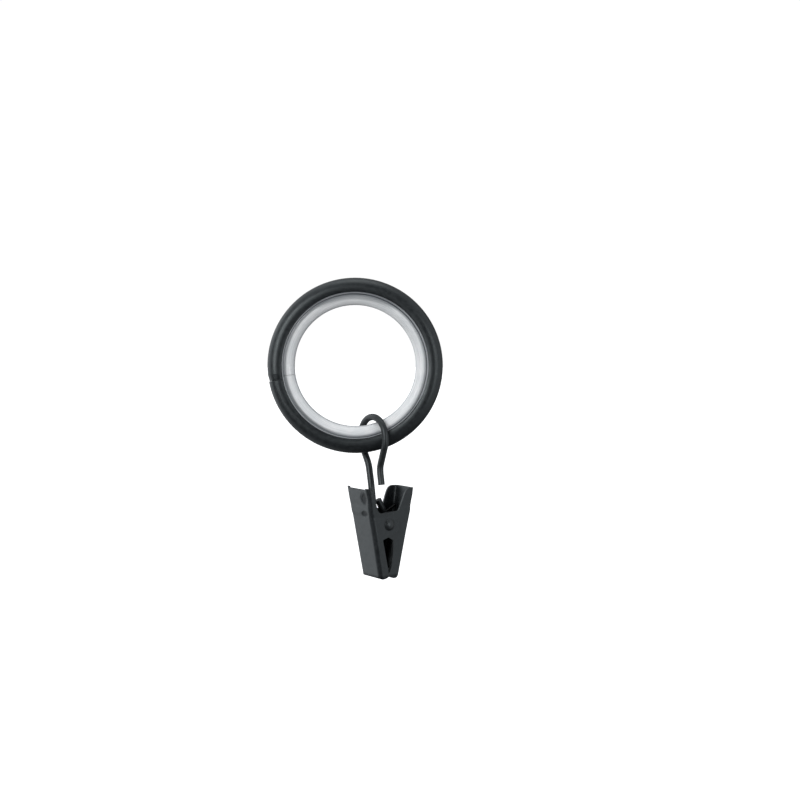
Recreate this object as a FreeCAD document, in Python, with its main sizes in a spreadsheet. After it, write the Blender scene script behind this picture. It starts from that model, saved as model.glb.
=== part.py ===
import FreeCAD, Part
import math
import os

import Sketcher

V = FreeCAD.Vector
doc = FreeCAD.newDocument("curtain_ring_with_clip")

# ---------------------------------------------------------------- dimensions
# All lengths in millimetres, all angles in degrees.
# Frame: origin at the ring's centre, the rod's line along Y, +Z up. The ring
# hangs on a rod, the wire hook hangs on the ring and the clip on the hook.
sheet = doc.addObject("Spreadsheet::Sheet", "dims")
sheet.Label = "dims"
DIMS = [
    # ring: roll-formed sheet of open round section, with a butt seam
    ("tube_radius", 3.2), ("tube_centre_radius", 24.3),
    ("mouth_radius", 23.0), ("shell_sheet", 0.6), ("seam_arc", 359.85), ("seam_angle", 190.4),
    ("seam_taper_depth", 0.26), ("seam_taper_length", 2.0), ("seam_edge", 0.12),
    # liner: plastic strip bent into the ring's mouth, with its own butt joint
    ("bore_radius", 19.0), ("liner_tuck_radius", 24.8), ("liner_gap", 0.05),
    ("lip_half_width", 2.86), ("lip_radius", 22.55), ("groove_half_width", 2.5), ("groove_radius", 22.3),
    ("bulge_half_width", 2.5), ("bulge_radius", 21.0), ("bore_half_width", 1.0),
    ("liner_arc", 359.8), ("liner_joint_angle", 188.0),
    # hook: round wire
    ("wire_diameter", 2.1), ("hook_turn", 38.5), ("hook_across", 5.52),
    ("loop_radius", 6.3), ("loop_forward", 0.1), ("loop_level", 22.4), ("stem_offset", 2.4), ("eye_radius", 2.4),
    # clip: two folded jaws on one rivet
    ("pivot_level", 49.8), ("jaw_sheet", 0.6), ("ear_half_width", 5.4),
    ("fold_radius", 1.5), ("rivet_radius", 1.2), ("rivet_clearance", 0.05),
    ("head_radius", 1.9), ("head_rim", 0.1), ("head_dome", 0.89),
    # spring: two coils beside the hook's eye, joined by a bridge
    ("spring_wire", 0.7), ("coil_radius", 1.95), ("coil_inner_side", 1.70), ("coil_pitch", 0.82), ("coil_turn", 506.0),
]
for row, (name, value) in enumerate(DIMS, start=1):
    sheet.set("A%d" % row, name)
    sheet.set("B%d" % row, "%r" % value)
    sheet.setAlias("B%d" % row, name)
doc.recompute()


def d(name):
    return float(sheet.get(name))


made = []


def plane(body, role):
    for f in body.Origin.OriginFeatures:
        if f.Role == role:
            return f
    raise RuntimeError("no plane " + role)


def new_sketch(body, name, role):
    sk = body.newObject("Sketcher::SketchObject", name)
    sk.AttachmentSupport = [(plane(body, role), "")]
    sk.MapMode = "FlatFace"
    return sk


def seg(sk, p, q):
    return sk.addGeometry(Part.LineSegment(V(p[0], p[1], 0), V(q[0], q[1], 0)), False)


def arc3(sk, p, m, q):
    return sk.addGeometry(Part.Arc(V(p[0], p[1], 0), V(m[0], m[1], 0), V(q[0], q[1], 0)), False)


# ------------------------------------------------------------------ ring shell
# The section lies in the XY plane: X is the distance from the ring's axis, Y
# runs along the rod. Outer and inner arcs share one centre, and two short
# edges close the sheet at the mouth.
def shell_body():
    body = doc.addObject("PartDesign::Body", "ring_shell")
    body.Label = "ring_shell"
    sk = new_sketch(body, "shell_section", "XY_Plane")
    c, ro, t, mr = d("tube_centre_radius"), d("tube_radius"), d("shell_sheet"), d("mouth_radius")
    ri = ro - t
    yo = math.sqrt(ro ** 2 - (c - mr) ** 2)
    yi = math.sqrt(ri ** 2 - (c - mr) ** 2)
    g0 = arc3(sk, (mr, -yo), (c + ro, 0), (mr, yo))
    g1 = seg(sk, (mr, yo), (mr, yi))
    g2 = arc3(sk, (mr, -yi), (c + ri, 0), (mr, yi))
    g3 = seg(sk, (mr, -yi), (mr, -yo))
    sk.addConstraint(Sketcher.Constraint("Coincident", g0, 2, g1, 1))
    sk.addConstraint(Sketcher.Constraint("Coincident", g1, 2, g2, 2))
    sk.addConstraint(Sketcher.Constraint("Coincident", g2, 1, g3, 1))
    sk.addConstraint(Sketcher.Constraint("Coincident", g3, 2, g0, 1))
    sk.addConstraint(Sketcher.Constraint("Vertical", g1))
    sk.addConstraint(Sketcher.Constraint("Vertical", g3))
    sk.addConstraint(Sketcher.Constraint("Coincident", g0, 3, g2, 3))
    sk.addConstraint(Sketcher.Constraint("PointOnObject", g0, 3, -1))
    k = sk.addConstraint(Sketcher.Constraint("DistanceX", -1, 1, g0, 3, c))
    sk.setExpression("Constraints[%d]" % k, "dims.tube_centre_radius")
    k = sk.addConstraint(Sketcher.Constraint("Radius", g0, ro))
    sk.setExpression("Constraints[%d]" % k, "dims.tube_radius")
    k = sk.addConstraint(Sketcher.Constraint("Radius", g2, ri))
    sk.setExpression("Constraints[%d]" % k, "dims.tube_radius - dims.shell_sheet")
    k = sk.addConstraint(Sketcher.Constraint("DistanceX", -1, 1, g1, 1, mr))
    sk.setExpression("Constraints[%d]" % k, "dims.mouth_radius")
    k = sk.addConstraint(Sketcher.Constraint("DistanceX", -1, 1, g3, 1, mr))
    sk.setExpression("Constraints[%d]" % k, "dims.mouth_radius")
    doc.recompute()
    rev = body.newObject("PartDesign::Revolution", "shell_roll")
    rev.Profile = sk
    rev.ReferenceAxis = (sk, ["V_Axis"])
    rev.setExpression("Angle", "dims.seam_arc")
    rev.Midplane = False
    doc.recompute()
    # the seam's two outer edges: the upper one is rolled in, the lower one broken
    def seam_edges(feature, at_start):
        out = []
        for i, e in enumerate(feature.Shape.Edges, start=1):
            if e.Curve.TypeId != "Part::GeomCircle" or abs(e.Curve.Radius - ro) > 1e-6:
                continue
            mid = e.valueAt((e.FirstParameter + e.LastParameter) / 2)
            start_like = abs(mid.z) < 1e-6
            if start_like == at_start and abs(mid.z) < 0.5 and abs(math.hypot(mid.x, mid.z) - (c + ro)) < 0.2:
                out.append("Edge%d" % i)
        return out
    rolled = body.newObject("PartDesign::Chamfer", "seam_rolled_end")
    rolled.Base = (rev, seam_edges(rev, True))
    rolled.ChamferType = "Two distances"
    rolled.setExpression("Size", "dims.seam_taper_length")
    rolled.setExpression("Size2", "dims.seam_taper_depth")
    doc.recompute()
    broken = body.newObject("PartDesign::Fillet", "seam_broken_end")
    broken.Base = (rolled, seam_edges(rolled, False))
    broken.setExpression("Radius", "dims.seam_edge")
    doc.recompute()
    print("seam ends take %.3f and %.3f mm3" % (rev.Shape.Volume - rolled.Shape.Volume, rolled.Shape.Volume - broken.Shape.Volume))
    body.Tip = broken
    return body


shell = shell_body()
made.append(shell)


def liner_body():
    body = doc.addObject("PartDesign::Body", "ring_liner")
    body.Label = "ring_liner"
    sk = new_sketch(body, "liner_section", "XY_Plane")
    c = d("tube_centre_radius")
    rt = d("tube_radius") - d("shell_sheet") - d("liner_gap")
    tuck, mouth = d("liner_tuck_radius"), d("mouth_radius")
    yt = math.sqrt(rt ** 2 - (tuck - c) ** 2)
    ym = math.sqrt(rt ** 2 - (c - mouth) ** 2)
    lw, lr = d("lip_half_width"), d("lip_radius")
    gw, gr = d("groove_half_width"), d("groove_radius")
    bw, br = d("bulge_half_width"), d("bulge_radius")
    hw, rb = d("bore_half_width"), d("bore_radius")
    lip_top = mouth - d("liner_gap")
    ex_rt = "(dims.tube_radius - dims.shell_sheet - dims.liner_gap)"
    # upper half of the section, from the tuck round to the bore, then mirrored
    up = [
        ("tuck", (tuck, yt), "dims.liner_tuck_radius", "sqrt(%s^2 - (dims.liner_tuck_radius - dims.tube_centre_radius)^2)" % ex_rt),
        ("neck", (mouth, ym), "dims.mouth_radius", "sqrt(%s^2 - (dims.tube_centre_radius - dims.mouth_radius)^2)" % ex_rt),
        ("lip_in", (lip_top, ym), "dims.mouth_radius - dims.liner_gap", "sqrt(%s^2 - (dims.tube_centre_radius - dims.mouth_radius)^2)" % ex_rt),
        ("lip_a", (lip_top, lw), "dims.mouth_radius - dims.liner_gap", "dims.lip_half_width"),
        ("lip_b", (lr, lw), "dims.lip_radius", "dims.lip_half_width"),
        ("groove", (gr, gw), "dims.groove_radius", "dims.groove_half_width"),
        ("bulge_a", (gr - 0.3, gw + 0.12), "dims.groove_radius - 0.3", "dims.groove_half_width + 0.12"),
        ("bore", (rb, hw), "dims.bore_radius", "dims.bore_half_width"),
    ]
    pts = [u[1] for u in up]
    n = len(pts)
    low = [(p[0], -p[1]) for p in reversed(pts)]
    between = (math.atan2(yt, tuck - c) + math.atan2(ym, mouth - c)) / 2
    a_mid = (c + rt * math.cos(between), rt * math.sin(between))
    g = []
    g.append(arc3(sk, pts[0], a_mid, pts[1]))
    for i in range(1, n - 2):
        g.append(seg(sk, pts[i], pts[i + 1]))
    bulge_mid = (br - 0.45, bw)
    g.append(arc3(sk, pts[n - 2], bulge_mid, pts[n - 1]))
    g.append(seg(sk, pts[n - 1], low[0]))
    g.append(arc3(sk, low[0], (bulge_mid[0], -bulge_mid[1]), low[1]))
    for i in range(1, n - 2):
        g.append(seg(sk, low[i], low[i + 1]))
    g.append(arc3(sk, low[n - 2], (a_mid[0], -a_mid[1]), low[n - 1]))
    g.append(seg(sk, low[n - 1], pts[0]))
    # bind every corner to the sheet
    names = [(u[2], u[3]) for u in up]
    both = names + [(a, "-(%s)" % b) for a, b in reversed(names)]
    allp = pts + low
    geo = sk.Geometry

    def ends(gi):
        e = geo[gi]
        return e.StartPoint, e.EndPoint

    total = len(g)
    for i in range(total):
        target = allp[i]
        for gi in (g[i],):
            s0, e0 = ends(gi)
            which = 1 if (abs(s0.x - target[0]) + abs(s0.y - target[1])) < 1e-6 else 2
            for kind, ex in (("DistanceX", both[i][0]), ("DistanceY", both[i][1])):
                val = target[0] if kind == "DistanceX" else target[1]
                k = sk.addConstraint(Sketcher.Constraint(kind, -1, 1, gi, which, val))
                sk.setExpression("Constraints[%d]" % k, ex)
        # coincide with the end of the edge before it
        gp = g[i - 1]
        s0, e0 = ends(gp)
        wp = 1 if (abs(s0.x - target[0]) + abs(s0.y - target[1])) < 1e-6 else 2
        s1, e1 = ends(g[i])
        wi = 1 if (abs(s1.x - target[0]) + abs(s1.y - target[1])) < 1e-6 else 2
        sk.addConstraint(Sketcher.Constraint("Coincident", gp, wp, g[i], wi))
    doc.recompute()
    rev = body.newObject("PartDesign::Revolution", "liner_bend")
    rev.Profile = sk
    rev.ReferenceAxis = (sk, ["V_Axis"])
    rev.setExpression("Angle", "dims.liner_arc")
    doc.recompute()
    body.Tip = rev
    return body


liner = liner_body()
made.append(liner)


def turn_about_rod(body, angle_deg, arc_deg):
    """Turn a ring piece about Y so that the middle of its gap lies at angle_deg
    in the XZ plane, counted from +X towards +Z."""
    # the section starts on +X and is swept by a positive turn about Y, which
    # carries +X towards -Z: the gap's middle is then at +gap/2 in XZ angle
    gap = 360.0 - arc_deg
    body.Placement = FreeCAD.Placement(V(0, 0, 0), FreeCAD.Rotation(V(0, 1, 0), -(angle_deg - gap / 2)))


turn_about_rod(shell, d("seam_angle"), d("seam_arc"))
turn_about_rod(liner, d("liner_joint_angle"), d("liner_arc"))

# ------------------------------------------------------------------ hook frame
# The hook's plane holds Z and the rivet's axis. U runs along the rivet towards
# the front, N across the clip to the right.
th = math.radians(d("hook_turn"))
U = V(math.sin(th), -math.cos(th), 0)
N = V(math.cos(th), math.sin(th), 0)
STEM = V(d("hook_across"), 0, 0)
PIVOT = V(d("hook_across"), 0, -d("pivot_level")) + N * d("stem_offset")


def hook_pt(s, z):
    return STEM + U * s + V(0, 0, z)


def clip_pt(u, a, b):
    return PIVOT + U * u + N * a + V(0, 0, b)


def smooth_path(points, radii):
    """Straight runs joined by tangent arcs."""
    edges = []
    cur = points[0]
    for i in range(1, len(points) - 1):
        p, q, r = points[i - 1], points[i], points[i + 1]
        v1 = (p - q)
        v2 = (r - q)
        l1, l2 = v1.Length, v2.Length
        v1.normalize()
        v2.normalize()
        ang = v1.getAngle(v2)
        turn = math.pi - ang
        if turn < 1e-4:
            continue
        rad = radii[i]
        cut = rad * math.tan(turn / 2)
        room = 0.47 * min(l1, l2)
        if cut > room:
            cut = room
            rad = cut / math.tan(turn / 2)
        a0 = q + v1 * cut
        a1 = q + v2 * cut
        bis = v1 + v2
        bis.normalize()
        centre = q + bis * (rad / math.cos(turn / 2))
        back = q - centre
        back.normalize()
        mid = centre + back * rad
        if (a0 - cur).Length > 1e-6:
            edges.append(Part.LineSegment(cur, a0).toShape())
        edges.append(Part.Arc(a0, mid, a1).toShape())
        cur = a1
    if (points[-1] - cur).Length > 1e-6:
        edges.append(Part.LineSegment(cur, points[-1]).toShape())
    return Part.Wire(edges)


def rod_along(wire, radius):
    e0 = wire.OrderedEdges[0] if hasattr(wire, "OrderedEdges") else wire.Edges[0]
    p0 = e0.valueAt(e0.FirstParameter)
    t0 = e0.tangentAt(e0.FirstParameter)
    prof = Part.Wire([Part.makeCircle(radius, p0, t0)])
    return wire.makePipeShell([prof], True, False, 0)


def plain_feature(name, shape):
    o = doc.addObject("Part::Feature", name)
    o.Label = name
    o.Shape = shape
    return o


# ------------------------------------------------------------------------ hook
# From the tail's tip up the front, over the loop, down the back leg and the
# stem, and round the rivet; the end lies beside the stem.
HOOK_FRONT = [(4.45, -37.15), (3.75, -33.2), (3.75, -31.4), (6.38, -24.2)]
HOOK_BACK = [(-6.1, -23.9), (-4.6, -27.2), (-2.2, -31.2), (-1.0, -37.0), (-0.1, -42.6)]


def hook_shape():
    rl, zl, s0 = d("loop_radius"), -d("loop_level"), d("loop_forward")
    wr = d("wire_diameter") / 2
    er = d("eye_radius")
    so = d("stem_offset")
    # front tail up to the loop
    front = [hook_pt(s, z) for s, z in HOOK_FRONT]
    top0 = hook_pt(s0 + rl, zl)
    back0 = hook_pt(s0 - rl, zl)
    w1 = smooth_path(front + [top0], [0, 6, 6, 7, 0])
    arc = Part.Wire([Part.Arc(top0, hook_pt(s0, zl + rl), back0).toShape()])
    backs = [back0] + [hook_pt(s, z) for s, z in HOOK_BACK]
    stem_low = clip_pt(0, -er, 0)
    stem_turn = hook_pt(0, -43.0)
    w2 = smooth_path(backs[:-1] + [stem_turn, hook_pt(0, -46.3), stem_low], [0, 7, 9, 9, 12, 12, 12, 0])
    # the eye: round the rivet from its left side, under it and up the right side
    c0 = clip_pt(0, 0, 0)
    ang_out = math.radians(8)
    pr = clip_pt(0, er * math.cos(ang_out), er * math.sin(ang_out))
    eye = Part.Wire([Part.Arc(stem_low, clip_pt(0, 0, -er), pr).toShape()])
    lean = V(0, 0, 0) + N * (-math.sin(ang_out)) + V(0, 0, math.cos(ang_out))
    p1 = pr + lean * 2.75
    end = clip_pt(0, -0.4, 7.4)
    w3 = smooth_path([pr, p1, end], [0, 3.0, 0])
    edges = []
    for w in (w1, arc, w2, eye, w3):
        edges.extend(w.OrderedEdges)
    path = Part.Wire(edges)
    solid = rod_along(path, wr)
    length = sum(e.Length for e in edges)
    print("hook wire length %.1f mm, volume %.1f of %.1f" % (length, solid.Volume, math.pi * wr * wr * length))
    return solid


hook = plain_feature("hook", hook_shape())
made.append(hook)

# ------------------------------------------------------------------------ jaws
# Each jaw is one folded sheet: a broad plate with a flange on either side.
# Levels are (height above the rivet, plate's outer face, half width).
OUTER_LEVELS = [(12.7, -8.9, 5.97), (7.9, -8.05, 5.83), (6.2, -7.7, 5.7), (4.0, -7.4, 5.55), (2.8, -7.05, 5.4),
                (-3.2, -5.85, 5.4), (-17.8, -3.0, 5.1)]
INNER_LEVELS = [(12.7, 11.0, 4.95), (8.6, 10.45, 4.9), (6.5, 10.0, 4.78), (5.2, 9.8, 4.68), (3.8, 9.72, 4.68), (2.4, 9.4, 4.68),
                (-3.2, 7.95, 4.68), (-17.8, 4.5, 4.68)]


def level_wire(b, plate, half, far, r, sgn):
    """Section of the blank at one height; sgn is +1 with the plate on the left."""
    def P(u, a):
        return clip_pt(u, a, b)
    k = r * (1 - math.cos(math.pi / 4))
    x0 = plate
    x1 = plate + sgn * r
    pts = [P(-half, far), P(-half, x1), P(-half + r, x0), P(half - r, x0), P(half, x1), P(half, far)]
    e = [
        Part.LineSegment(pts[0], pts[1]).toShape(),
        Part.Arc(pts[1], P(-half + k, x0 + sgn * k), pts[2]).toShape(),
        Part.LineSegment(pts[2], pts[3]).toShape(),
        Part.Arc(pts[3], P(half - k, x0 + sgn * k), pts[4]).toShape(),
        Part.LineSegment(pts[4], pts[5]).toShape(),
        Part.LineSegment(pts[5], pts[0]).toShape(),
    ]
    return Part.Wire(e)


def blank(levels, inset, r, far, sgn):
    wires = [level_wire(b, a + sgn * inset * 1.02, w - inset, far, r, sgn) for b, a, w in levels]
    return Part.makeLoft(wires, True, True)


def side_prism(items, half):
    """Prism of a side outline; items are points, or (via, end) pairs for arcs."""
    edges = []
    first = cur = items[0]
    for it in items[1:]:
        if len(it) == 2 and isinstance(it[0], tuple):
            via, end = it
            edges.append(Part.Arc(clip_pt(-half, *cur), clip_pt(-half, *via), clip_pt(-half, *end)).toShape())
            cur = end
        else:
            edges.append(Part.LineSegment(clip_pt(-half, *cur), clip_pt(-half, *it)).toShape())
            cur = it
    edges.append(Part.LineSegment(clip_pt(-half, *cur), clip_pt(-half, *first)).toShape())
    face = Part.Face(Part.Wire(edges))
    return face.extrude(U * (2 * half))


# side outlines, (across, up) from the rivet
OUTER_SIDE = [
    (-10.5, 11.9), (-8.0, 11.9), ((-6.75, 10.6), (-5.95, 9.2)), (-5.6, 7.5), (-4.95, 5.4), ((-4.2, 4.25), (-2.9, 3.85)),
    (0.0, 3.8), ((2.9, 2.3), (3.7, -0.6)), ((3.4, -2.1), (2.2, -3.05)), (-0.2, -3.9), (-2.55, -4.62), (-0.35, -14.1),
    ((-0.2, -15.0), (0.02, -15.8)), (0.02, -16.5), ((-1.1, -17.0), (-2.4, -17.15)), ((-3.05, -16.85), (-3.5, -15.8)),
    (-4.6, -14.75), (-10.5, -14.75)]
OUTER_CAVITY = [
    (-10.5, 14.0), (16.0, 14.0), (16.0, -15.9), (-0.3, -15.91), ((-1.3, -16.38), (-2.3, -16.53)), ((-2.75, -16.25), (-2.9, -15.5)),
    (-3.4, -14.6), (-10.5, -14.6)]
INNER_SIDE = [
    (13.5, 10.8), (9.1, 10.8), ((7.6, 10.45), (6.65, 9.4)), (5.95, 7.9), (5.35, 6.4), (4.85, 5.1), ((4.4, 4.3), (3.5, 3.9)),
    (-0.9, 3.9), ((-2.9, 2.3), (-3.5, 0.1)), ((-3.1, -1.5), (-2.0, -2.5)), (-0.2, -3.9), (2.08, -5.25), (1.98, -9.6),
    (1.4, -13.4), ((0.82, -14.8), (0.14, -15.8)), (0.14, -16.5), ((1.4, -17.1), (2.7, -17.35)), ((3.75, -17.0), (4.45, -15.9)),
    (5.3, -15.0), (13.5, -15.0)]
INNER_CAVITY = [
    (13.5, 14.0), (-16.0, 14.0), (-16.0, -15.9), (0.5, -15.92), ((1.6, -16.5), (2.7, -16.73)), ((3.35, -16.45), (3.8, -15.6)),
    (4.5, -14.75), (13.5, -14.75)]


def jaw(levels, side, cavity, sgn, hole_r, relief):
    t, r = d("jaw_sheet"), d("fold_radius")
    far = 15.0 * sgn
    outer = blank(levels, 0.0, r, far, sgn)
    inner = blank(levels, t, r - t, far + sgn * 2, sgn)
    body = outer.common(side_prism(side, 9.0))
    hollow = inner.common(side_prism(cavity, 8.0))
    body = body.cut(hollow)
    c0 = clip_pt(-9, 0, 0)
    body = body.cut(Part.makeCylinder(hole_r, 18, c0, U))
    # shallow relief in the thumb edge, so the two folded corners stand proud
    if relief:
        lo_a, hi_a, b0, hw = relief
        cutter = side_prism([(lo_a, b0), (hi_a, b0), (hi_a, b0 + 4), (lo_a, b0 + 4)], hw)
        body = body.cut(cutter)
    solids = sorted(body.Solids, key=lambda s_: -s_.Volume)
    if len(solids) > 1:
        print("jaw has", len(solids), "solids:", [round(s_.Volume, 3) for s_ in solids])
    return solids[0].removeSplitter()


outer_jaw = plain_feature("outer_jaw", jaw(OUTER_LEVELS, OUTER_SIDE, OUTER_CAVITY, 1, d("rivet_radius"), (-10.5, -7.6, 11.55, 4.2)))
made.append(outer_jaw)
inner_jaw = plain_feature("inner_jaw", jaw(INNER_LEVELS, INNER_SIDE, INNER_CAVITY, -1, d("rivet_radius") + d("rivet_clearance"), None))
made.append(inner_jaw)


# ----------------------------------------------------------------------- rivet
# Turned round its own axis in the body's frame (X along the rivet), then laid
# on the clip's pivot line.
def rivet_body():
    body = doc.addObject("PartDesign::Body", "rivet")
    body.Label = "rivet"
    sk = new_sketch(body, "rivet_section", "XY_Plane")
    w, r, hr, dome = d("ear_half_width"), d("rivet_radius"), d("head_radius"), d("head_dome")
    # half section above the X axis
    near, far = w + 0.01, -(w + 0.01)
    rim = d("head_rim")
    g = []
    g.append(seg(sk, (far - dome, 0), (near + dome, 0)))
    # each head is a ball cap: its arc's centre stays on the axis
    cap = dome - rim
    ball = (hr ** 2 + cap ** 2) / (2 * cap)
    half = math.asin(hr / ball) / 2
    a_mid = (near + dome - ball + ball * math.cos(half), ball * math.sin(half))
    g.append(arc3(sk, (near + dome, 0), a_mid, (near + rim, hr)))
    g.append(seg(sk, (near + rim, hr), (near, hr)))
    g.append(seg(sk, (near, hr), (near, r)))
    g.append(seg(sk, (near, r), (far, r)))
    g.append(seg(sk, (far, r), (far, hr)))
    g.append(seg(sk, (far, hr), (far - rim, hr)))
    b_mid = (far - dome + ball - ball * math.cos(half), ball * math.sin(half))
    g.append(arc3(sk, (far - rim, hr), b_mid, (far - dome, 0)))
    pts = [(far - dome, 0), (near + dome, 0), (near + rim, hr), (near, hr), (near, r), (far, r), (far, hr), (far - rim, hr)]
    ex = [("-dims.ear_half_width - 0.01 - dims.head_dome", "0"), ("dims.ear_half_width + 0.01 + dims.head_dome", "0"),
          ("dims.ear_half_width + 0.01 + dims.head_rim", "dims.head_radius"), ("dims.ear_half_width + 0.01", "dims.head_radius"),
          ("dims.ear_half_width + 0.01", "dims.rivet_radius"), ("-dims.ear_half_width - 0.01", "dims.rivet_radius"),
          ("-dims.ear_half_width - 0.01", "dims.head_radius"), ("-dims.ear_half_width - 0.01 - dims.head_rim", "dims.head_radius")]
    geo = sk.Geometry
    for i, gi in enumerate(g):
        tgt = pts[i]
        s1 = geo[gi].StartPoint
        wi = 1 if abs(s1.x - tgt[0]) + abs(s1.y - tgt[1]) < 1e-6 else 2
        gp = g[i - 1]
        s0 = geo[gp].StartPoint
        wp = 1 if abs(s0.x - tgt[0]) + abs(s0.y - tgt[1]) < 1e-6 else 2
        for kind, val, e in (("DistanceX", tgt[0], ex[i][0]), ("DistanceY", tgt[1], ex[i][1])):
            if kind == "DistanceY" and tgt[1] == 0:
                sk.addConstraint(Sketcher.Constraint("PointOnObject", gi, wi, -1))
                continue
            k = sk.addConstraint(Sketcher.Constraint(kind, -1, 1, gi, wi, val))
            sk.setExpression("Constraints[%d]" % k, e)
        sk.addConstraint(Sketcher.Constraint("Coincident", gp, wp, gi, wi))
    for gi in (g[1], g[7]):
        sk.addConstraint(Sketcher.Constraint("PointOnObject", gi, 3, -1))
    doc.recompute()
    rev = body.newObject("PartDesign::Revolution", "rivet_turn")
    rev.Profile = sk
    rev.ReferenceAxis = (sk, ["H_Axis"])
    rev.Angle = 360
    doc.recompute()
    body.Tip = rev
    return body


rivet = rivet_body()
rivet.Placement = FreeCAD.Placement(PIVOT, FreeCAD.Rotation(V(1, 0, 0), U))
made.append(rivet)


# ---------------------------------------------------------------------- spring
# One wire: a bridge against the left lever, a coil on either side of the eye
# and a leg from each coil against the right lever. A coil is drawn as half
# turns, each a true arc in a plane tilted about the tangent at its start, so
# that the turns step sideways and join smoothly.
def spring_shape():
    wr, cr = d("spring_wire") / 2, d("coil_radius")
    ui, pitch = d("coil_inner_side"), d("coil_pitch")
    start, turned = math.radians(196.0), math.radians(d("coil_turn"))
    tilt = math.asin(pitch / 4 / cr)

    def coil(side):
        """Arcs from the inner side outwards, and the tangents at both ends."""
        here = clip_pt(side * ui, cr * math.cos(start), cr * math.sin(start))
        along = N * (-math.sin(start)) + V(0, 0, math.cos(start))
        inward = (N * math.cos(start) + V(0, 0, math.sin(start))) * -1.0
        first, left, arcs = V(along), turned, []
        while left > 1e-6:
            step = min(left, math.pi)
            across = inward * math.cos(tilt) + U * (side * math.sin(tilt))

            def at(phi):
                return here + along * (cr * math.sin(phi)) + across * (cr * (1 - math.cos(phi)))

            arcs.append((at(0), at(step / 2), at(step)))
            last = along * math.cos(step) + across * math.sin(step)
            here, along, inward, left = at(step), last, inward * -1.0, left - step
        return arcs, first, last

    front, ff, fl = coil(1)
    back, bf, bl = coil(-1)
    # the legs leave each coil along its tangent
    pf, pb = front[0][0], back[0][0]
    bridge = smooth_path([pf, pf - ff * 3.0, clip_pt(ui, -6.9, 7.6), clip_pt(-ui, -6.9, 7.6), pb - bf * 3.0, pb],
                         [0, 3.0, 0.75, 0.75, 3.0, 0])
    out_u = abs((front[-1][2] - PIVOT).dot(U))
    qf, qb = front[-1][2], back[-1][2]
    leg_f = smooth_path([clip_pt(out_u, 8.6, 4.5), qf + fl * 2.2, qf], [0, 2.5, 0])
    leg_b = smooth_path([qb, qb + bl * 2.2, clip_pt(-out_u, 8.6, 4.5)], [0, 2.5, 0])
    edges = list(leg_f.OrderedEdges)
    edges += [Part.Arc(c_, b_, a_).toShape() for a_, b_, c_ in reversed(front)]
    edges += list(bridge.OrderedEdges)
    edges += [Part.Arc(a_, b_, c_).toShape() for a_, b_, c_ in back]
    edges += list(leg_b.OrderedEdges)
    solid = rod_along(Part.Wire(edges), wr)
    print("spring: outer side %.2f, volume %.2f, length*section %.2f" % (out_u, solid.Volume, sum(e.Length for e in edges) * math.pi * wr * wr))
    return solid


spring = plain_feature("spring", spring_shape())
made.append(spring)

# ---------------------------------------------------------------- check, write
doc.recompute()
for o in doc.Objects:
    bad = [w for w in o.State if w in ("Invalid", "Error")]
    if bad:
        raise RuntimeError("%s: %s" % (o.Name, bad))
for o in made:
    s = o.Shape
    if s.isNull() or not s.isValid():
        raise RuntimeError("%s has no valid shape" % o.Label)
    print("%-12s solids %d volume %8.1f mm3  box x %.2f..%.2f y %.2f..%.2f z %.2f..%.2f" % (
        o.Label, len(s.Solids), s.Volume, s.BoundBox.XMin, s.BoundBox.XMax, s.BoundBox.YMin, s.BoundBox.YMax, s.BoundBox.ZMin, s.BoundBox.ZMax))
os.makedirs("parts", exist_ok=True)
for o in made:
    o.Shape.exportStep("parts/%s.step" % o.Label)
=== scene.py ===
import math

import bpy
from mathutils import Matrix, Vector

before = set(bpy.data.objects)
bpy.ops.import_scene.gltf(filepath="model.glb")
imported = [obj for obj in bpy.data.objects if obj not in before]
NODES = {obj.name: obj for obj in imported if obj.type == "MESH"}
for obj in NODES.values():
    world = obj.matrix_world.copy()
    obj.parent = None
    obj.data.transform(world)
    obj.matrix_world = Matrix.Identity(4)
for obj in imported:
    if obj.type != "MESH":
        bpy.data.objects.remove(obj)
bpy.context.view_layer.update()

MM = 0.001

# The part's own directions. The clip's rivet runs along U, N goes across the
# clip, and PIVOT is the middle of the rivet.
TURN = math.radians(38.5)
U = Vector((math.sin(TURN), -math.cos(TURN), 0.0))
N = Vector((math.cos(TURN), math.sin(TURN), 0.0))
PIVOT = Vector((5.52, 0.0, -49.8)) * MM + N * 2.4 * MM


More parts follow.
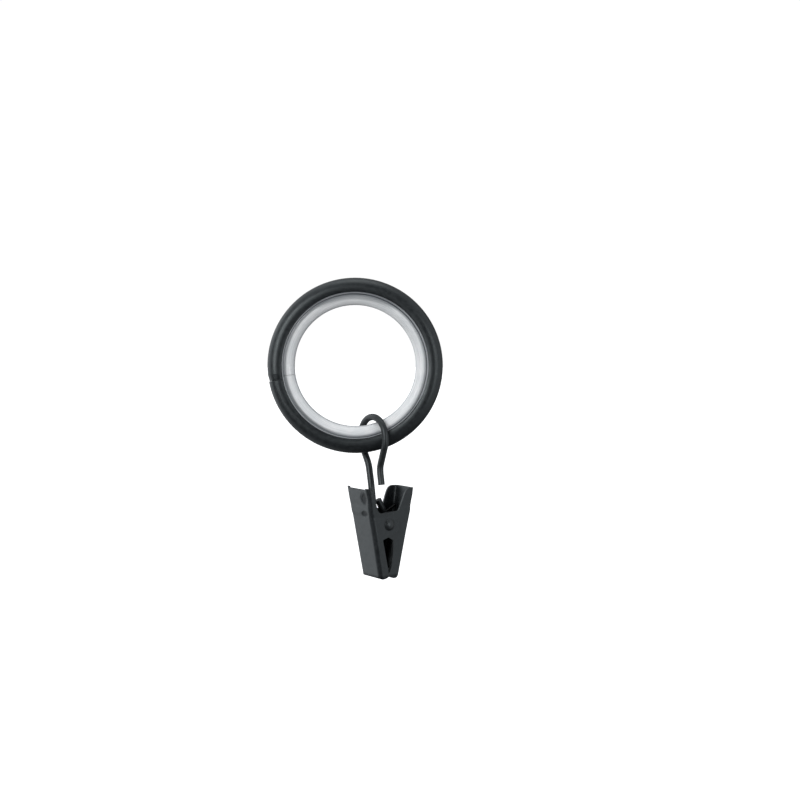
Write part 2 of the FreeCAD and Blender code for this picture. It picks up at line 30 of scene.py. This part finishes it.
# ------------------------------------------------------------------ node tools
class Graph:
    """Small helper around one material's node tree."""

    def __init__(self, name):
        self.mat = bpy.data.materials.new(name)
        self.mat.use_nodes = True
        self.tree = self.mat.node_tree
        self.nodes = self.tree.nodes
        self.links = self.tree.links
        self.bsdf = self.nodes["Principled BSDF"]
        self.coord = self.nodes.new("ShaderNodeTexCoord")
        self.pos = self.coord.outputs["Object"]

    def put(self, socket, value):
        if hasattr(value, "is_output") or isinstance(value, bpy.types.NodeSocket):
            self.links.new(value, socket)
        else:
            socket.default_value = value

    def math(self, op, a, b=None, c=None, clamp=False):
        n = self.nodes.new("ShaderNodeMath")
        n.operation = op
        n.use_clamp = clamp
        self.put(n.inputs[0], a)
        if b is not None:
            self.put(n.inputs[1], b)
        if c is not None:
            self.put(n.inputs[2], c)
        return n.outputs[0]

    def sep(self, vector=None):
        n = self.nodes.new("ShaderNodeSeparateXYZ")
        self.put(n.inputs[0], vector if vector is not None else self.pos)
        return n.outputs

    def comb(self, x, y, z):
        n = self.nodes.new("ShaderNodeCombineXYZ")
        for s, v in zip(n.inputs, (x, y, z)):
            self.put(s, v)
        return n.outputs[0]

    def dot(self, direction, offset=0.0, vector=None):
        """Distance along a fixed direction, in metres."""
        n = self.nodes.new("ShaderNodeVectorMath")
        n.operation = "DOT_PRODUCT"
        self.put(n.inputs[0], vector if vector is not None else self.pos)
        n.inputs[1].default_value = tuple(direction)
        return self.math("SUBTRACT", n.outputs["Value"], offset) if offset else n.outputs["Value"]

    def noise(self, scale, detail=3.0, rough=0.5, vector=None, distortion=0.0):
        n = self.nodes.new("ShaderNodeTexNoise")
        self.put(n.inputs["Vector"], vector if vector is not None else self.pos)
        n.inputs["Scale"].default_value = scale
        n.inputs["Detail"].default_value = detail
        n.inputs["Roughness"].default_value = rough
        n.inputs["Distortion"].default_value = distortion
        return n.outputs["Fac"]

    def voronoi(self, scale, vector=None, feature="F1"):
        n = self.nodes.new("ShaderNodeTexVoronoi")
        n.feature = feature
        self.put(n.inputs["Vector"], vector if vector is not None else self.pos)
        n.inputs["Scale"].default_value = scale
        return n.outputs["Distance"]

    def ramp(self, fac, stops, smooth=True):
        """Piecewise map of a 0..1 factor to greys or colours."""
        n = self.nodes.new("ShaderNodeValToRGB")
        n.color_ramp.interpolation = "EASE" if smooth else "LINEAR"
        el = n.color_ramp.elements
        while len(el) > 1:
            el.remove(el[-1])
        for i, (p, col) in enumerate(stops):
            if not isinstance(col, (tuple, list)):
                col = (col, col, col)
            e = el[0] if i == 0 else el.new(p)
            e.position = p
            e.color = (*col[:3], 1.0)
        self.put(n.inputs[0], fac)
        return n.outputs["Color"]

    def span(self, value, lo, hi, out_lo=0.0, out_hi=1.0, smooth=True):
        n = self.nodes.new("ShaderNodeMapRange")
        n.interpolation_type = "SMOOTHSTEP" if smooth else "LINEAR"
        n.clamp = True
        self.put(n.inputs["Value"], value)
        n.inputs["From Min"].default_value = lo
        n.inputs["From Max"].default_value = hi
        n.inputs["To Min"].default_value = out_lo
        n.inputs["To Max"].default_value = out_hi
        return n.outputs["Result"]

    def mix(self, fac, a, b, mode="MIX"):
        n = self.nodes.new("ShaderNodeMix")
        n.data_type = "RGBA"
        n.blend_type = mode
        n.clamp_factor = True
        self.put(n.inputs[0], fac)
        self.put(n.inputs[6], a if not isinstance(a, tuple) else (*a[:3], 1.0))
        self.put(n.inputs[7], b if not isinstance(b, tuple) else (*b[:3], 1.0))
        return n.outputs[2]

    def bump(self, height, distance, strength=1.0, normal=None):
        n = self.nodes.new("ShaderNodeBump")
        n.inputs["Strength"].default_value = strength
        n.inputs["Distance"].default_value = distance
        self.put(n.inputs["Height"], height)
        if normal is not None:
            self.put(n.inputs["Normal"], normal)
        return n.outputs["Normal"]

    def rounded(self, radius, samples=4):
        n = self.nodes.new("ShaderNodeBevel")
        n.samples = samples
        n.inputs["Radius"].default_value = radius
        return n.outputs["Normal"]

    def edge(self, radius=0.00012):
        """1 near sharp edges, 0 on open faces: how far the rounded normal leans from the true one."""
        b = self.nodes.new("ShaderNodeBevel")
        b.samples = 4
        b.inputs["Radius"].default_value = radius
        g = self.nodes.new("ShaderNodeNewGeometry")
        d = self.nodes.new("ShaderNodeVectorMath")
        d.operation = "DOT_PRODUCT"
        self.links.new(b.outputs["Normal"], d.inputs[0])
        self.links.new(g.outputs["Normal"], d.inputs[1])
        return self.span(d.outputs["Value"], 0.995, 0.80)


# --------------------------------------------------------------- coated metals
def coated(name, tint, rough, spec, edge_wear=0.25, rub=None, peel=1.0, mottling=1.0, round_mm=0.07, dents=None, lips=False):
    """Satin black coating: fine orange peel, slight mottling, thinner on edges."""
    g = Graph(name)
    fine = g.noise(5200.0, 2.0, 0.55)
    mid = g.noise(900.0, 3.0, 0.5)
    broad = g.noise(120.0, 2.0, 0.5)
    # colour: dark with a faint cool tint, a little uneven
    lo = tuple(c * 0.80 for c in tint)
    hi = tuple(c * 1.28 for c in tint)
    base = g.mix(g.span(mid, 0.35, 0.68), lo, hi)
    base = g.mix(g.span(broad, 0.3, 0.7, 0.0, 0.35 * mottling), base, tuple(c * 1.5 for c in tint))
    # pin-size specks, where the coat caught dust
    specks = g.span(g.voronoi(1400.0), 0.10, 0.045)
    base = g.mix(g.math("MULTIPLY", specks, g.span(g.noise(600.0, 1.0), 0.56, 0.66, 0.0, 0.55)), base, tuple(min(1.0, c * 3.4) for c in tint))
    # edges: the coat is thin there and catches light
    if edge_wear:
        worn = g.math("MULTIPLY", g.edge(), g.span(g.noise(1500.0, 2.0), 0.35, 0.65, 0.25, 1.0))
        base = g.mix(g.math("MULTIPLY", worn, edge_wear), base, (0.16, 0.165, 0.17))
    if rub is not None:
        base = g.mix(rub(g), base, (0.11, 0.112, 0.115))
    g.put(g.bsdf.inputs["Base Color"], base)
    g.put(g.bsdf.inputs["Roughness"], g.math("ADD", g.span(mid, 0.3, 0.7, rough - 0.05, rough + 0.06), g.span(fine, 0.3, 0.7, -0.02, 0.03)))
    g.bsdf.inputs["Metallic"].default_value = 0.0
    g.bsdf.inputs["IOR"].default_value = 1.5
    g.bsdf.inputs["Specular IOR Level"].default_value = spec
    height = g.math("ADD", g.math("MULTIPLY", fine, 0.45), g.math("MULTIPLY", mid, 1.0))
    under = g.rounded(round_mm * MM)
    shine = None
    if lips:
        # the lips' folded ends, where the coat is dull
        shine = g.span(g.sep()[2], -0.0664, -0.0655, 0.35, 1.0)
    if dents is not None:
        flat = dents(g)
        under = g.bump(flat, 0.00030, 0.8, under)
        shine = g.math("MULTIPLY", g.span(flat, 0.0, 1.0, 0.26, 1.0), shine if shine is not None else 1.0)
    if shine is not None:
        g.put(g.bsdf.inputs["Specular IOR Level"], g.math("MULTIPLY", shine, spec))
    g.bsdf.inputs["Specular Tint"].default_value = (0.90, 0.985, 1.0, 1.0)
    g.put(g.bsdf.inputs["Normal"], g.bump(height, 0.000012 * peel, 0.8, under))
    return g


def lever_dents(g):
    """Pressed hollows beside the left jaw's fold, where the tool bent the lever: 0 in them, 1 outside."""
    u = g.dot(U, PIVOT.dot(U))
    z = g.sep()[2]
    wobble = g.span(g.noise(700.0, 2.0, 0.5), 0.2, 0.8, 0.85, 1.15)
    level = 1.0
    for at_u, at_b, wide, tall in ((3.1, 8.6, 1.9, 2.3), (2.3, 3.7, 2.1, 1.15)):
        du = g.math("DIVIDE", g.math("SUBTRACT", u, at_u * MM), wide * MM)
        db = g.math("DIVIDE", g.math("SUBTRACT", z, PIVOT.z + at_b * MM), tall * MM)
        r = g.math("SQRT", g.math("ADD", g.math("MULTIPLY", du, du), g.math("MULTIPLY", db, db)))
        level = g.math("MULTIPLY", level, g.span(g.math("MULTIPLY", r, wobble), 0.35, 1.1))
    return level


def ring_rub(g):
    """Where the hook's wire slides on the tube, at the bottom: faint streaks along the ring."""
    x, y, z = g.sep()
    r = g.math("SQRT", g.math("ADD", g.math("MULTIPLY", x, x), g.math("MULTIPLY", z, z)))
    low = g.span(z, -0.0225, -0.0262)
    streak = g.noise(700.0, 3.0, 0.6, g.comb(g.math("MULTIPLY", r, 3.0), g.math("MULTIPLY", y, 3.0), 0.0))
    return g.math("MULTIPLY", low, g.span(streak, 0.56, 0.72, 0.0, 0.22))


def lip_rub(g):
    """The jaws' lips and the levers' thumb ends are handled most."""
    x, y, z = g.sep()
    low = g.span(z, -0.0655, -0.0672)
    high = g.span(z, -0.0392, -0.0376)
    patch = g.span(g.noise(900.0, 3.0, 0.6), 0.5, 0.7, 0.0, 0.18)
    return g.math("MULTIPLY", g.math("MAXIMUM", low, high), patch)


ring_coat = coated("ring_coat", (0.0110, 0.0125, 0.0140), 0.36, 0.50, edge_wear=0.30, rub=ring_rub)
wire_coat = coated("wire_coat", (0.0110, 0.0122, 0.0135), 0.36, 0.50, edge_wear=0.15, peel=0.7)
clip_coat = coated("clip_coat", (0.0120, 0.0134, 0.0150), 0.34, 0.52, edge_wear=0.40, rub=lip_rub, lips=True)
lever_coat = coated("lever_coat", (0.0120, 0.0134, 0.0150), 0.34, 0.52, edge_wear=0.40, rub=lip_rub, dents=lever_dents, lips=True)
rivet_coat = coated("rivet_coat", (0.0110, 0.0122, 0.0135), 0.32, 0.55, edge_wear=0.35, peel=0.6)


def spring_metal():
    """Oiled spring wire: dark steel with fine drawing lines along the wire."""
    g = Graph("spring_wire")
    a = g.noise(2600.0, 2.0, 0.6)
    b = g.noise(350.0, 2.0, 0.5)
    g.put(g.bsdf.inputs["Base Color"], g.mix(g.span(b, 0.3, 0.7), (0.006, 0.0065, 0.007), (0.014, 0.014, 0.0145)))
    g.put(g.bsdf.inputs["Roughness"], g.span(a, 0.3, 0.7, 0.30, 0.48))
    g.bsdf.inputs["Metallic"].default_value = 0.6
    g.put(g.bsdf.inputs["Normal"], g.bump(a, 0.000006, 0.6))
    return g


spring_steel = spring_metal()


# ----------------------------------------------------------------------- liner
def liner_plastic():
    """Milky plastic strip: cloudy body, faint extrusion lines round the ring,
    painted shade towards the shell, at the top, on the left, on the lower left lip, in the groove under the lip
    and on the bore's rim."""
    g = Graph("liner_plastic")
    x, y, z = g.sep()
    r = g.math("SQRT", g.math("ADD", g.math("MULTIPLY", x, x), g.math("MULTIPLY", z, z)))
    ang = g.math("ARCTAN2", z, x)
    # extrusion lines run round the ring: noise stretched along the angle
    lines = g.noise(3200.0, 2.0, 0.6, g.comb(r, g.math("MULTIPLY", y, 1.0), g.math("MULTIPLY", ang, 0.00035)))
    cloud = g.noise(170.0, 3.0, 0.55)
    body = g.mix(g.span(cloud, 0.32, 0.68), (0.84, 0.86, 0.87), (0.93, 0.935, 0.94))
    body = g.mix(g.span(lines, 0.40, 0.62, 0.0, 0.22), body, (0.60, 0.625, 0.65))
    # painted shade: the strip darkens towards the shell, which also shows through it, and painted shade darkens
    # its left side more
    shell_and_painted_shade = g.span(r, 0.0213, 0.0220, 0.0, 0.72)
    body = g.mix(shell_and_painted_shade, body, (0.24, 0.26, 0.28))
    side = g.span(x, 0.002, -0.014)
    # painted shade on the left side of the strip, towards the shell
    painted_left_shade = g.math("MULTIPLY", side, g.span(r, 0.0211, 0.0217, 0.0, 0.62))
    painted_left_shade = g.math("MULTIPLY", painted_left_shade, g.span(r, 0.0224, 0.0221))
    body = g.mix(painted_left_shade, body, (0.11, 0.12, 0.13))
    # painted shade: the outer lip, where it lies against the shell's edge, is darkened nearly to black on the
    # lower left
    low = g.math("MULTIPLY", g.math("ADD", x, z), -0.7)
    painted_lip_shade = g.math("MULTIPLY", g.span(low, -0.010, -0.004), g.span(r, 0.02260, 0.02280, 0.0, 0.92))
    body = g.mix(painted_lip_shade, body, (0.025, 0.027, 0.030))
    # painted shade: the top of the strip is darkened towards the shell
    painted_top_shade = g.math("MULTIPLY", g.span(z, 0.0165, 0.0205), g.span(r, 0.0203, 0.0212, 0.0, 0.62))
    body = g.mix(painted_top_shade, body, (0.16, 0.17, 0.185))
    # painted shade in the groove under the lip, where the strip is also thin over the dark shell; darker on the
    # right
    painted_groove_shade = g.math("MULTIPLY", g.span(r, 0.02205, 0.02222), g.span(r, 0.02262, 0.02246))
    groove_shade_strength = g.math("ADD", g.math("MULTIPLY", side, -0.35), 0.85)
    body = g.mix(g.math("MULTIPLY", painted_groove_shade, groove_shade_strength), body, (0.10, 0.11, 0.12))
    # painted shade on the rim of the bore
    painted_rim_shade = g.span(r, 0.01935, 0.01905, 0.0, 0.50)
    body = g.mix(painted_rim_shade, body, (0.36, 0.38, 0.40))
    g.put(g.bsdf.inputs["Base Color"], body)
    g.put(g.bsdf.inputs["Roughness"], g.span(lines, 0.3, 0.7, 0.22, 0.34))
    g.bsdf.inputs["IOR"].default_value = 1.47
    # the specular level drops under the painted lip shade
    g.put(g.bsdf.inputs["Specular IOR Level"], g.math("ADD", g.math("MULTIPLY", painted_lip_shade, -0.40), 0.5))
    g.bsdf.inputs["Subsurface Weight"].default_value = 0.35
    g.bsdf.inputs["Subsurface Radius"].default_value = (1.0, 1.0, 1.0)
    g.bsdf.inputs["Subsurface Scale"].default_value = 0.0009
    g.bsdf.inputs["Transmission Weight"].default_value = 0.12
    g.put(g.bsdf.inputs["Normal"], g.bump(lines, 0.000010, 0.6, g.rounded(0.10 * MM)))
    return g


liner_milk = liner_plastic()


def dress(node, graph):
    o = NODES[node]
    if not o.data.materials:
        o.data.materials.append(graph.mat)
    for i in range(len(o.data.materials)):
        o.data.materials[i] = graph.mat
    for s in o.material_slots:
        s.material = graph.mat


dress("ring_shell", ring_coat)
dress("ring_liner", liner_milk)
dress("hook", wire_coat)
dress("outer_jaw", lever_coat)
dress("inner_jaw", clip_coat)
dress("rivet", rivet_coat)
dress("spring", spring_steel)

# ----------------------------------------------------------------------- stage
def plain(name, colour, rough=0.9):
    m = bpy.data.materials.new(name)
    m.use_nodes = True
    b = m.node_tree.nodes["Principled BSDF"]
    b.inputs["Base Color"].default_value = (*colour, 1.0)
    b.inputs["Roughness"].default_value = rough
    b.inputs["Specular IOR Level"].default_value = 0.0
    b.inputs["Emission Color"].default_value = (1.0, 1.0, 1.0, 1.0)
    b.inputs["Emission Strength"].default_value = 0.80
    return m


FLOOR_Z = -0.30
half = 12.0
me = bpy.data.meshes.new("floor")
me.from_pydata([(-half, -half, FLOOR_Z), (half, -half, FLOOR_Z), (half, half, FLOOR_Z), (-half, half, FLOOR_Z)], [], [(0, 1, 2, 3)])
floor = bpy.data.objects.new("floor", me)
bpy.context.scene.collection.objects.link(floor)
me.materials.append(plain("pale_floor", (0.93, 0.93, 0.93)))
# the floor shows to the camera, but the light from below stays that of the room
floor.visible_diffuse = False
floor.visible_glossy = False
floor.visible_transmission = False
floor.visible_shadow = False

# ---------------------------------------------------------------------- lights
# the room, as soft patches: (direction, edge, middle, strength)
ROOM = [
    ((-0.93, 0.34, 0.08), 0.70, 0.98, 1.14),  # bright wall on the left
    ((-0.70, 0.20, 0.68), 0.66, 0.98, 0.55),  # its upper part
    ((-0.72, 0.20, -0.66), 0.66, 0.98, 0.45), # its lower part
    ((1.0, -0.20, 0.05), 0.50, 0.95, 0.60),   # dimmer wall on the right
    ((0.0, 0.10, 1.0), 0.30, 0.95, 0.42),     # ceiling
    ((-0.50, -0.86, 0.16), 0.86, 0.97, 1.10), # window beside the camera
    ((0.0, 1.0, 0.05), 0.50, 0.98, 0.12),     # paper behind
]
world = bpy.data.worlds.new("studio")
bpy.context.scene.world = world
world.use_nodes = True
wt = world.node_tree
wn, wl = wt.nodes, wt.links
out = wn["World Output"]
room = wn["Background"]
seen = wn.new("ShaderNodeBackground")
seen.inputs["Color"].default_value = (1.0, 1.0, 1.0, 1.0)
seen.inputs["Strength"].default_value = 1.02
path = wn.new("ShaderNodeLightPath")
mixer = wn.new("ShaderNodeMixShader")
tc = wn.new("ShaderNodeTexCoord")


def wmath(op, a, b, c=None):
    n = wn.new("ShaderNodeMath")
    n.operation = op
    for s_, v in zip(n.inputs, (a, b, c)):
        if v is None:
            continue
        if isinstance(v, bpy.types.NodeSocket):
            wl.new(v, s_)
        else:
            s_.default_value = v
    return n.outputs[0]


def wlobe(direction, cos_out, cos_in, strength):
    """A soft bright patch of the room around one direction."""
    n = wn.new("ShaderNodeVectorMath")
    n.operation = "DOT_PRODUCT"
    wl.new(tc.outputs["Generated"], n.inputs[0])
    n.inputs[1].default_value = tuple(Vector(direction).normalized())
    m_ = wn.new("ShaderNodeMapRange")
    m_.interpolation_type = "SMOOTHERSTEP"
    wl.new(n.outputs["Value"], m_.inputs["Value"])
    m_.inputs["From Min"].default_value = cos_out
    m_.inputs["From Max"].default_value = cos_in
    m_.inputs["To Min"].default_value = 0.0
    m_.inputs["To Max"].default_value = strength
    return m_.outputs["Result"]


total = 0.06
for lobe in ROOM:
    total = wmath("ADD", wlobe(*lobe), total)
grey = wn.new("ShaderNodeCombineColor")
for i, k in enumerate((0.97, 1.0, 1.03)):
    wl.new(wmath("MULTIPLY", total, k), grey.inputs[i])
wl.new(grey.outputs[0], room.inputs["Color"])
room.inputs["Strength"].default_value = 1.0
wl.new(path.outputs["Is Camera Ray"], mixer.inputs[0])
wl.new(room.outputs[0], mixer.inputs[1])
wl.new(seen.outputs[0], mixer.inputs[2])
wl.new(mixer.outputs[0], out.inputs["Surface"])


def softbox(name, place, aim, size, power, colour=(1, 1, 1), size_y=None):
    d = bpy.data.lights.new(name, "AREA")
    d.shape = "RECTANGLE"
    d.size = size
    d.size_y = size_y or size
    d.energy = power
    d.color = colour
    o = bpy.data.objects.new(name, d)
    bpy.context.scene.collection.objects.link(o)
    v = Vector(aim) - Vector(place)
    o.matrix_world = Matrix.Translation(Vector(place)) @ v.to_track_quat("-Z", "Y").to_matrix().to_4x4()
    return o


softbox("key_left", (-0.36, -0.52, 0.14), (0.0, 0.0, -0.01), 0.30, 1.75, (1.0, 1.0, 1.0), 0.40)
softbox("fill_right", (0.42, -0.48, 0.02), (0.0, 0.0, -0.02), 0.26, 0.75, (0.98, 0.99, 1.0), 0.40)
softbox("top", (0.02, -0.06, 0.60), (0.0, 0.0, 0.0), 0.42, 0.85, (1.0, 1.0, 1.0), 0.42)

# ---------------------------------------------------------------------- camera
cam_data = bpy.data.cameras.new("camera")
cam = bpy.data.objects.new("camera", cam_data)
bpy.context.scene.collection.objects.link(cam)
target = Vector((14.05, 0.0, -10.76)) * MM
pitch = math.radians(3.1)
reach = 0.349
cam.location = target + Vector((0.0, -math.cos(pitch), math.sin(pitch))) * reach
cam.rotation_euler = (math.radians(90.0) - pitch, 0.0, 0.0)
cam_data.sensor_width = 36.0
cam_data.lens = 50.0
cam_data.clip_start = 0.01
cam_data.clip_end = 100.0
bpy.context.scene.camera = cam

vs = bpy.context.scene.view_settings
vs.view_transform = "Standard"
vs.look = "None"
vs.exposure = 0.0
vs.gamma = 1.0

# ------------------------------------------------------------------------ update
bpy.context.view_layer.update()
